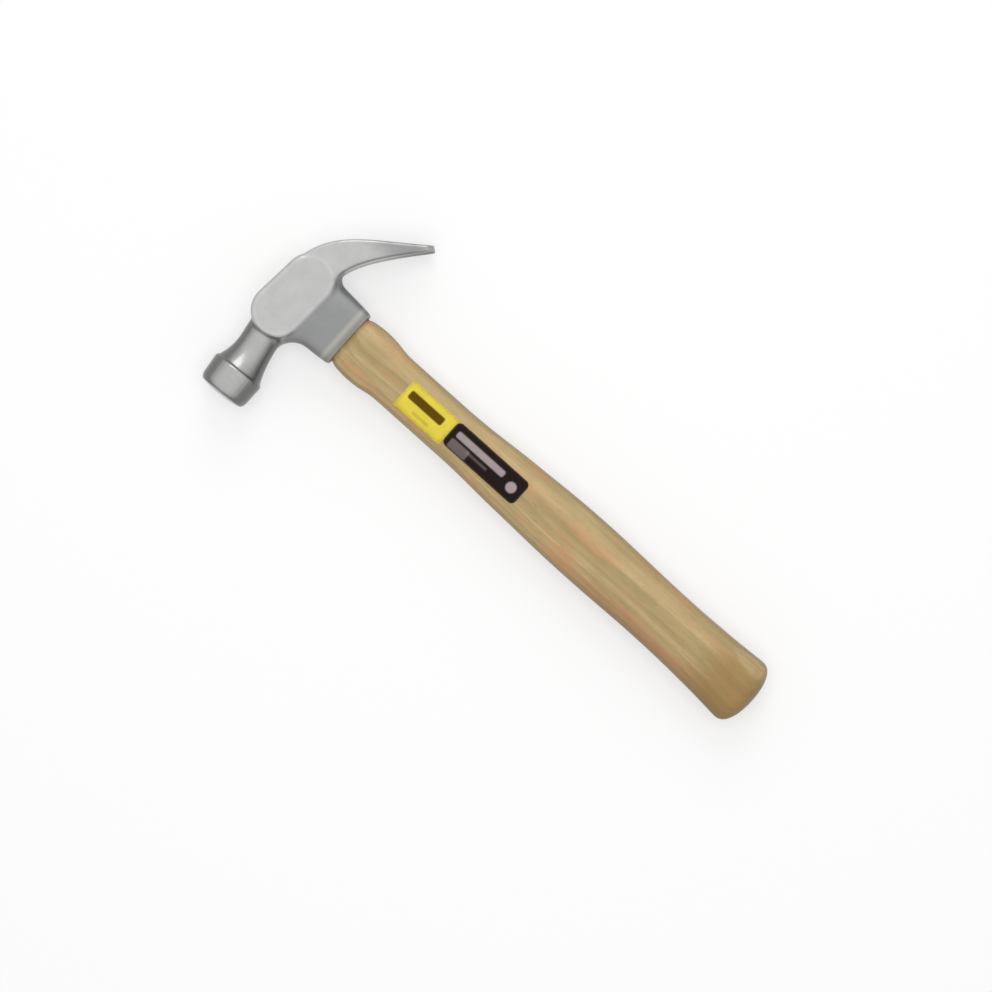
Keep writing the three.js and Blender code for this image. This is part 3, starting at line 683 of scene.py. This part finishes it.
def ramp(tree, value, low, high, to_low=0.0, to_high=1.0):
    """A smooth step from one value to another, as the input goes from low to high."""
    node = tree.nodes.new("ShaderNodeMapRange")
    node.interpolation_type = "SMOOTHSTEP"
    link(tree, value, node.inputs["Value"])
    for label, number in (("From Min", low), ("From Max", high), ("To Min", to_low), ("To Max", to_high)):
        node.inputs[label].default_value = number
    return node.outputs[0]


def hill(tree, value, middle, reach):
    """1 at a middle value, falling smoothly to 0 at a distance on both sides."""
    away = math_node(tree, "ABSOLUTE", math_node(tree, "SUBTRACT", value, middle))
    return ramp(tree, away, 0.0, reach, 1.0, 0.0)


def mixed(tree, factor, a, b, blend="MIX"):
    """A mix of two colours, each a tuple or another node's output."""
    node = tree.nodes.new("ShaderNodeMix")
    node.data_type, node.blend_type = "RGBA", blend
    for socket, value in ((node.inputs[0], factor), (node.inputs[6], a), (node.inputs[7], b)):
        put(tree, value, socket)
    return node.outputs[2]


def covered(tree, colour, mask, share, over):
    """A colour with another one laid over it where a mask says, at a share of its strength."""
    return mixed(tree, product(tree, mask, share), colour, over)


def tinted(tree, colour, tint, factor=1.0):
    """A colour multiplied by a tint."""
    return mixed(tree, factor, colour, tint, "MULTIPLY")


def new_material(name, metallic=0.0, coat=0.0, specular=0.5):
    material = bpy.data.materials.get(name) or bpy.data.materials.new(name)
    material.use_nodes = True
    tree = material.node_tree
    shader = tree.nodes["Principled BSDF"]
    shader.inputs["Metallic"].default_value = metallic
    shader.inputs["Coat Weight"].default_value = coat
    shader.inputs["Specular IOR Level"].default_value = specular
    return material, tree, shader.inputs


def from_rim(tree):
    """Object coordinates turned into millimetres from the socket's rim, on the centre line."""
    coordinates = tree.nodes.new("ShaderNodeTexCoord")
    move = tree.nodes.new("ShaderNodeVectorMath")
    move.operation = "SUBTRACT"
    link(tree, coordinates.outputs["Object"], move.inputs[0])
    move.inputs[1].default_value = place(0, 0)
    return stretched(tree, move.outputs[0], (1 / MM, 1 / MM, 1 / MM))


def attribute_mask(tree, name):
    """A mask that was stored on the piece's points."""
    node = tree.nodes.new("ShaderNodeAttribute")
    node.attribute_name = name
    return node.outputs["Fac"]


def bump(tree, height, depth, shader_inputs):
    """Bump of a depth in millimetres on a shader."""
    node = tree.nodes.new("ShaderNodeBump")
    node.inputs["Distance"].default_value = depth * MM
    link(tree, height, node.inputs["Height"])
    link(tree, node.outputs["Normal"], shader_inputs["Normal"])


def hypotenuse(tree, a, b):
    """The distance to a point that lies a one way and b across it."""
    return math_node(tree, "SQRT", math_node(tree, "ADD", product(tree, a, a), product(tree, b, b)))


# %% Group: the grain of sawn wood
def grain_group():
    tree, given, out = shader_group("sawn_grain", [
        ("Vector", "NodeSocketVector", None), ("Ring Spacing", "NodeSocketFloat", 3.2),
        ("Heart Y", "NodeSocketFloat", -34.0), ("Heart Z", "NodeSocketFloat", -46.0),
        ("Waviness", "NodeSocketFloat", 3.0)], ["Rings", "Streaks", "Pores"])
    parts = split_xyz(tree, given["Vector"])
    wander = noise(tree, stretched(tree, given["Vector"], (0.011, 0.03, 0.03)))
    wander = product(tree, math_node(tree, "SUBTRACT", wander, 0.5), given["Waviness"])
    dy = math_node(tree, "ADD", math_node(tree, "SUBTRACT", parts["Y"], given["Heart Y"]), wander)
    dz = math_node(tree, "ADD", math_node(tree, "SUBTRACT", parts["Z"], given["Heart Z"]), wander)
    radius = hypotenuse(tree, dy, dz)
    year = math_node(tree, "FRACT", math_node(tree, "DIVIDE", radius, given["Ring Spacing"]))
    slow = ramp(tree, year, 0.05, 0.80)
    sharp = ramp(tree, year, 0.84, 0.99, 1.0, 0.0)
    link(tree, product(tree, slow, sharp), out["Rings"])
    link(tree, noise(tree, stretched(tree, given["Vector"], (0.022, 0.42, 0.42)), 4.0, 0.55), out["Streaks"])
    fleck = noise(tree, stretched(tree, given["Vector"], (0.16, 3.4, 3.4)), 1.0)
    link(tree, ramp(tree, fleck, 0.60, 0.74), out["Pores"])
    return tree


# %% Group: marks of handling
def marks_group():
    tree, given, out = shader_group("handling_marks", [
        ("Vector", "NodeSocketVector", None), ("Smudge Size", "NodeSocketFloat", 9.0),
        ("Stroke", "NodeSocketVector", (0.12, 4.0, 4.0))], ["Smudges", "Strokes"])
    shrink = tree.nodes.new("ShaderNodeVectorMath")
    shrink.operation = "SCALE"
    link(tree, given["Vector"], shrink.inputs[0])
    link(tree, math_node(tree, "DIVIDE", 1.0, given["Smudge Size"]), shrink.inputs["Scale"])
    link(tree, noise(tree, shrink.outputs[0], 3.0, 0.6), out["Smudges"])
    draw = tree.nodes.new("ShaderNodeVectorMath")
    draw.operation = "MULTIPLY"
    link(tree, given["Vector"], draw.inputs[0])
    link(tree, given["Stroke"], draw.inputs[1])
    link(tree, noise(tree, draw.outputs[0], 2.0, 0.65), out["Strokes"])
    return tree


# %% Group: a printed bar
def bar_group():
    tree, given, out = shader_group("printed_bar", [
        ("Vector", "NodeSocketVector", None), ("Centre X", "NodeSocketFloat", 0.0),
        ("Centre Y", "NodeSocketFloat", 0.0), ("Half Length", "NodeSocketFloat", 1.0),
        ("Half Width", "NodeSocketFloat", 1.0), ("Round", "NodeSocketFloat", 0.8),
        ("Softness", "NodeSocketFloat", 0.3)], ["Mask"])
    parts = split_xyz(tree, given["Vector"])
    past = []
    for part, centre, half in (("X", "Centre X", "Half Length"), ("Y", "Centre Y", "Half Width")):
        away = math_node(tree, "ABSOLUTE", math_node(tree, "SUBTRACT", parts[part], given[centre]))
        core = math_node(tree, "SUBTRACT", given[half], given["Round"])
        past.append(math_node(tree, "MAXIMUM", math_node(tree, "SUBTRACT", away, core), 0.0))
    corner = hypotenuse(tree, *past)
    outside = math_node(tree, "SUBTRACT", corner, given["Round"])
    outside = math_node(tree, "DIVIDE", outside, given["Softness"])
    link(tree, ramp(tree, outside, -1.0, 1.0, 1.0, 0.0), out["Mask"])
    return tree


sawn_grain, handling_marks, printed_bar = grain_group(), marks_group(), bar_group()
print("shared effects:", sawn_grain.name, handling_marks.name, printed_bar.name)

# %% [markdown]
# The head has three finishes, and each vertex knows which of them it has. The cheeks and claws are
# ground and polished, the socket keeps a rolled grey skin, and the neck and bell are turned. On the
# flanks, where the surface turns away from straight up, the colour is darkened with painted shade,
# most on the neck and bell. Edges are rubbed bright. Hollows are rougher, and painted shade darkens
# them.

# %% Head: which finish each point has, and where shade is painted
FACE_LOBE, FACE_LOBE_RADIUS = (-37.3, -13.5), 14.1
CLAW_LOBE, CLAW_LOBE_RADIUS = (-35.7, 9.5), 13.7


def beyond_block(points):
    """Distance outside the cheeks' outline, a hull round two lobes, in millimetres."""
    along, distance = to_segment(points[:, :2], FACE_LOBE, CLAW_LOBE)
    return distance - (FACE_LOBE_RADIUS + along * (CLAW_LOBE_RADIUS - FACE_LOBE_RADIUS))


def point_normals(piece):
    normals = np.empty(len(piece.data.vertices) * 3)
    piece.data.vertices.foreach_get("normal", normals)
    return normals.reshape(-1, 3)


def edge_sharpness(piece, passes=3):
    """How far each point stands out from its neighbours, in mm: above 0 on edges, below in hollows."""
    mesh = piece.data
    count = len(mesh.vertices)
    points, normals = local_points(piece), point_normals(piece)
    ends = np.empty(len(mesh.edges) * 2, dtype=np.int64)
    mesh.edges.foreach_get("vertices", ends)
    first, second = ends.reshape(-1, 2).T
    degree = np.bincount(ends, minlength=count)

    def neighbours_mean(values):
        total = np.bincount(first, values[second], count) + np.bincount(second, values[first], count)
        return total / np.maximum(degree, 1)

    mean = np.stack([neighbours_mean(column) for column in points.T], axis=1)
    sharpness = ((points - mean) * normals).sum(axis=1)
    for _ in range(passes):
        sharpness = neighbours_mean(sharpness)
    return sharpness


def store(piece, name, values):
    """Keeps one number for each point, which a material reads by its name."""
    attribute = piece.data.attributes.new(name, "FLOAT", "POINT")
    attribute.data.foreach_set("value", np.asarray(values, dtype=np.float32))


head_points = local_points(head)
x, y, z = head_points.T
off_block = beyond_block(head_points)
# Each step is given where it begins and where it is complete, in millimetres or as a share of a tilt
turned = smooth_step(off_block, -0.6, 0.8) * smooth_step(-y, 19.0, 23.0) * smooth_step(-x, 13.0, 17.0)
skirt = smooth_step(off_block, -2.2, 0.4) * smooth_step(x, -27.0, -24.5)
skirt *= smooth_step(-np.abs(y), -25.5, -22.5)
tips = smooth_step(y, 38.0, 54.0)
head_normals = point_normals(head)
# The flanks, where the surface turns away from straight up, are marked for painted shade: fully on the neck
# and bell but not on the striking face, and at a share elsewhere.
side_on = 1 - np.abs(head_normals[:, 2])
turned *= 1 - skirt
poll_flank_shade = smooth_step(side_on, 0.01, 0.30) * (1 - smooth_step(-head_normals[:, 1], 0.75, 0.95))
OTHER_FLANK_SHADE_SHARE = 0.35
other_flank_shade = OTHER_FLANK_SHADE_SHARE * smooth_step(side_on, 0.03, 0.55)
store(head, "turned", turned)
store(head, "skirt", skirt)
store(head, "flank_shade", other_flank_shade + turned * (poll_flank_shade - other_flank_shade))
store(head, "tips", tips)
sharpness = edge_sharpness(head)
store(head, "worn_edge", smooth_step(sharpness, 0.008, 0.035))
# Hollows are marked for painted shade in the colour and for more roughness.
store(head, "hollow", smooth_step(-sharpness, 0.004, 0.025))
BORDER_INSET, BORDER_WIDTH = 2.0, 0.9
border = np.exp(-((off_block + BORDER_INSET) / BORDER_WIDTH) ** 2)
store(head, "border", border * smooth_step(-x, 22.0, 27.0))
print("points of the socket:", int((skirt > 0.5).sum()), "of the poll:", int((turned > 0.5).sum()))


# %% Material: forged steel
PAINTED_FLANK_SHADE = (0.36, 0.36, 0.355)
GROUND, ROLLED, LATHE = (0.545, 0.545, 0.540), (0.315, 0.318, 0.318), (0.47, 0.47, 0.46)
PAINTED_RIM_HIGHLIGHT, PAINTED_RIM_SHADE, TIP_SHADE = (0.44, 0.43, 0.39), (0.30, 0.265, 0.225), (0.20, 0.20, 0.20)
BRIGHT_BORDER, HOLLOW_SHADE, BRIGHT_EDGE = (0.68, 0.68, 0.67), (0.14, 0.135, 0.13), (0.66, 0.66, 0.65)


def paint_head():
    """Steel with the three finishes, painted shade on the flanks, and its tool lines."""
    material, tree, shader = new_material("forged_steel", metallic=0.88)
    where = from_rim(tree)
    along = split_xyz(tree, where)
    turned_here, skirt_here = attribute_mask(tree, "turned"), attribute_mask(tree, "skirt")
    colour = mixed(tree, skirt_here, GROUND, ROLLED)
    colour = mixed(tree, turned_here, colour, LATHE)
    # Painted highlight on a band of the socket a few millimetres above its rim.
    painted_rim_highlight = product(tree, hill(tree, along["X"], -4.4, 2.3), skirt_here)
    colour = mixed(tree, painted_rim_highlight, colour, PAINTED_RIM_HIGHLIGHT)
    # Painted shade, warmed by a painted reflection of the wood, on the socket's last two millimetres above
    # the rim.
    painted_rim_shade = product(tree, ramp(tree, along["X"], -2.4, -0.8), skirt_here)
    colour = mixed(tree, painted_rim_shade, colour, PAINTED_RIM_SHADE)
    # Over the finishes: painted shade at the claws' tips and in the hollows, a brighter band inside the
    # cheeks' outline, and edges rubbed bright.
    for mask, share, over in (("tips", 0.62, TIP_SHADE), ("border", 0.35, BRIGHT_BORDER),
                              ("hollow", 0.45, HOLLOW_SHADE), ("worn_edge", 0.30, BRIGHT_EDGE)):
        colour = covered(tree, colour, attribute_mask(tree, mask), share, over)
    lines = use_group(tree, handling_marks, {"Vector": where, "Smudge Size": 7.0})
    colour = tinted(tree, colour, mixed(tree, lines["Smudges"], (0.86, 0.86, 0.86), (1.1, 1.1, 1.1)))
    # Painted shade on the flanks.
    colour = tinted(tree, colour, PAINTED_FLANK_SHADE, attribute_mask(tree, "flank_shade"))
    link(tree, colour, shader["Base Color"])
    rough = math_node(tree, "MULTIPLY_ADD", lines["Smudges"], 0.14, 0.28)
    rough = math_node(tree, "MULTIPLY_ADD", turned_here, -0.08, rough)
    rough = math_node(tree, "MULTIPLY_ADD", skirt_here, 0.16, rough)
    rough = math_node(tree, "MULTIPLY_ADD", attribute_mask(tree, "hollow"), 0.15, rough)
    link(tree, rough, shader["Roughness"])
    # Belt lines run along the claws' length, tool lines run round the poll, and the socket is rolled
    belt_lines = stretched(tree, where, (3.6, 0.2, 3.6))
    belt = use_group(tree, handling_marks, {"Vector": belt_lines, "Smudge Size": 1.0})
    lathe_lines = noise(tree, stretched(tree, where, (0.25, 3.2, 0.25)))
    scale_skin = noise(tree, stretched(tree, where, (0.9, 0.9, 0.9)), 3.0, 0.6)
    height = product(tree, lathe_lines, turned_here)
    height = math_node(tree, "ADD", height, product(tree, scale_skin, skirt_here))
    height = math_node(tree, "MULTIPLY_ADD", belt["Smudges"], 0.5, height)
    bump(tree, height, 0.012, shader)
    return material


dressed(head, paint_head())
print("steel masks:", [mask.name for mask in head.data.attributes if mask.domain == "POINT"])

# %% [markdown]
# Hickory is straight in the grain, with an olive heart streak and long fine pores, and a clear lacquer
# lies over it. A pale band in the colour of sapwood along the claws' side is painted highlight. The grip
# is browner at the butt, where hands have held it, and at the face's side, partly from hands and partly
# as painted shade. The handle's sides are darkened with painted shade.

# %% Material: hickory
SAP_TONE_AND_HIGHLIGHT, HONEY, OLIVE = (0.700, 0.520, 0.260), (0.560, 0.395, 0.190), (0.340, 0.258, 0.098)
ROSE, RUSSET_STAIN_AND_SHADE, OCHRE = (0.700, 0.370, 0.175), (0.420, 0.200, 0.090), (0.330, 0.200, 0.050)
END_GRAIN = (0.62, 0.56, 0.50)
SIDE_SHADE = (0.60, 0.61, 0.64)
PORE_DARK = (0.17, 0.10, 0.05)
# The handle's sides, where the wood turns away from straight up, are marked for painted shade.
store(stick, "edge", smooth_step(1 - np.abs(point_normals(stick)[:, 2]), 0.15, 0.95))


def paint_handle():
    """Grain, an olive heart, patches, browner places where hands held it, and painted highlight and shade.
    """
    _, tree, shader = new_material("hickory", coat=0.12)
    where = from_rim(tree)
    at = split_xyz(tree, where)
    grain = use_group(tree, sawn_grain, {"Vector": where})
    marks = use_group(tree, handling_marks, {"Vector": where, "Smudge Size": 14.0})
    sway = math_node(tree, "SUBTRACT", noise(tree, stretched(tree, where, (0.016, 0.0, 0.0))), 0.5)
    across = math_node(tree, "MULTIPLY_ADD", sway, 9.0, at["Y"])
    # A pale band along the claws' side of the handle is painted highlight, in the colour of sapwood, fading
    # towards the butt.
    claw_side_highlight = product(tree, hill(tree, across, 9.0, 6.5), ramp(tree, at["X"], 205.0, 250.0, 1.0, 0.4))
    heart = product(tree, hill(tree, across, 0.5, 6.5), ramp(tree, grain["Streaks"], 0.30, 0.60))
    colour = mixed(tree, ramp(tree, grain["Streaks"], 0.34, 0.66), HONEY, SAP_TONE_AND_HIGHLIGHT)
    colour = covered(tree, colour, grain["Rings"], 0.40, OLIVE)
    patches = ramp(tree, noise(tree, stretched(tree, where, (0.030, 0.13, 0.13)), 3.0, 0.6), 0.47, 0.66)
    colour = covered(tree, colour, patches, 0.75, ROSE)
    colour = covered(tree, colour, claw_side_highlight, 0.58, SAP_TONE_AND_HIGHLIGHT)
    colour = covered(tree, colour, heart, 0.55, OLIVE)
    # Browner on the face's side of the grip: partly a stain where hands hold it, partly painted shade.
    held_stain_and_shade = product(tree, ramp(tree, at["X"], 130.0, 200.0), ramp(tree, at["Y"], -4.0, -14.0))
    colour = covered(tree, colour, held_stain_and_shade, 0.55, RUSSET_STAIN_AND_SHADE)
    butt = product(tree, ramp(tree, at["X"], 238.0, 262.0), ramp(tree, across, 16.0, 6.0))
    colour = covered(tree, colour, butt, 0.72, OCHRE)
    colour = covered(tree, colour, grain["Pores"], 0.35, PORE_DARK)
    colour = tinted(tree, colour, mixed(tree, marks["Smudges"], (0.88, 0.87, 0.85), (1.1, 1.1, 1.08)))
    end_grain = ramp(tree, at["X"], CROWN_X + 0.6, CROWN_X + 0.2)
    colour = tinted(tree, colour, END_GRAIN, end_grain)
    # Painted shade on the handle's sides.
    colour = tinted(tree, colour, SIDE_SHADE, attribute_mask(tree, "edge"))
    link(tree, colour, shader["Base Color"])
    link(tree, math_node(tree, "MULTIPLY_ADD", marks["Smudges"], 0.2, 0.42), shader["Roughness"])
    height = math_node(tree, "MULTIPLY_ADD", grain["Pores"], -1.0, grain["Rings"])
    bump(tree, height, 0.02, shader)
    return tree


print("hickory nodes:", len(paint_handle().nodes))

# %% [markdown]
# A wooden handle stays on because its end is spread inside the head: a poplar wedge is driven into
# the saw cut, and two small steel wedges go in across it. They could be modelled again here, but
# their faces are flat and little of them shows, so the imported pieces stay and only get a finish.

# %% Materials: the wedges
def paint_wedges():
    """Bare poplar for the wooden wedge, and dull steel with a trace of rust for the other two."""
    poplar, tree, shader = new_material("poplar")
    where = from_rim(tree)
    grain = use_group(tree, sawn_grain, {"Vector": where, "Ring Spacing": 1.9, "Heart Z": -8.0})
    colour = mixed(tree, grain["Rings"], (0.62, 0.47, 0.27), (0.50, 0.365, 0.20))
    colour = covered(tree, colour, grain["Pores"], 0.5, (0.22, 0.14, 0.08))
    link(tree, colour, shader["Base Color"])
    link(tree, ramp(tree, grain["Streaks"], 0.3, 0.7, 0.6, 0.8), shader["Roughness"])
    bump(tree, grain["Rings"], 0.05, shader)
    oxide, tree, shader = new_material("dull_wedge_steel", metallic=1.0)
    marks = use_group(tree, handling_marks, {"Vector": from_rim(tree), "Smudge Size": 2.5})
    colour = mixed(tree, ramp(tree, marks["Smudges"], 0.35, 0.7), (0.30, 0.30, 0.31), (0.19, 0.14, 0.11))
    link(tree, colour, shader["Base Color"])
    link(tree, ramp(tree, marks["Smudges"], 0.3, 0.7, 0.38, 0.68), shader["Roughness"])
    bump(tree, marks["Strokes"], 0.03, shader)
    return poplar, oxide


poplar, oxide = paint_wedges()
for node, material in (("wood_wedge", poplar), ("steel_wedge_1", oxide), ("steel_wedge_2", oxide)):
    dressed(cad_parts[node], material)
print("wedge finishes:", poplar.name, oxide.name)

# %% [markdown]
# The labels carry plain print: bars, a block and a dot. It could be a picture laid on each film, but
# bars made from numbers stay sharp at any size. The films' edges have rubbed thin, so the wood's
# colour comes through there.

# %% Materials: the printed films
def rubbed_edge(tree, where, start, end, face_side, claw_side, width):
    """1 in the rubbed border of a film, 0 in its middle."""
    inside = use_group(tree, printed_bar, {
        "Vector": where, "Centre X": (start + end) / 2, "Centre Y": (face_side + claw_side) / 2,
        "Half Length": (end - start) / 2 - width / 2, "Half Width": (claw_side - face_side) / 2 - width / 2,
        "Round": 2.0, "Softness": width / 2})
    rub = ramp(tree, noise(tree, stretched(tree, where, (0.8, 1.4, 1.4)), 3.0, 0.6), 0.30, 0.75, 0.15, 0.85)
    return product(tree, math_node(tree, "SUBTRACT", 1.0, inside["Mask"]), rub)


def paint_film(name, base, worn, sizes, border, prints):
    """A film. Each print: centre x and y, half length, half width, round, colour, strength."""
    _, tree, shader = new_material(name, specular=0.08)
    where = from_rim(tree)
    colour = base
    for centre_at, side_at, half_length, half_width, corner, ink, strength in prints:
        bar = use_group(tree, printed_bar, {
            "Vector": where, "Centre X": centre_at, "Centre Y": side_at, "Half Length": half_length,
            "Half Width": half_width, "Round": corner, "Softness": 0.55})
        colour = covered(tree, colour, bar["Mask"], strength, ink)
    marks = use_group(tree, handling_marks, {"Vector": where, "Smudge Size": 5.0})
    colour = tinted(tree, colour, mixed(tree, marks["Smudges"], (0.84, 0.84, 0.84), (1.12, 1.12, 1.12)))
    ends_and_sides = [sizes[name] for name in ("Start X", "End X", "Face Y", "Claw Y")]
    rub = rubbed_edge(tree, where, *ends_and_sides, border)
    colour = mixed(tree, rub, colour, worn)
    link(tree, colour, shader["Base Color"])
    link(tree, math_node(tree, "MULTIPLY_ADD", marks["Smudges"], 0.2, 0.35), shader["Roughness"])
    bump(tree, marks["Strokes"], 0.008, shader)
    print(name, "prints:", len(prints))


LEMON, WORN_LEMON, WORN_INK = (0.985, 0.800, 0.095), (0.58, 0.43, 0.08), (0.20, 0.14, 0.08)
AMBER, GREY, INK = (0.140, 0.074, 0.001), (0.530, 0.440, 0.450), (0.016, 0.009, 0.008)
paint_film("yellow_film", LEMON, WORN_LEMON, YELLOW, 2.4, [
    (53.7, 0.2, 11.4, 2.4, 1.2, AMBER, 1.0),
    (55.0, -6.3, 5.5, 0.8, 0.5, AMBER, 0.25),
])
paint_film("black_film", INK, WORN_INK, BLACK, 1.0, [
    (90.6, 1.2, 16.1, 1.8, 1.2, GREY, 0.85),
    (80.0, -4.6, 6.0, 2.6, 1.0, GREY, 0.32),
    (91.0, -3.0, 7.0, 0.7, 0.5, GREY, 0.20),
    (113.6, -1.2, 2.9, 2.9, 2.8, GREY, 0.90),
])

# %% [markdown]
# A dressed piece takes the place of the plain piece that it was made from. All of them ride on the
# hammer's one body, because nothing on a hammer moves.

# %% Rides and replacements
for piece, node, slot in ((head, "hammer_head", "forged_steel"), (stick, "handle", "handle_wood"),
                          (yellow_label, "yellow_label", "yellow_label"),
                          (black_label, "black_label", "black_label")):
    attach(piece, "root")
    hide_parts(node)
print("dressed pieces:", [piece.name for piece in (head, stick, yellow_label, black_label)])
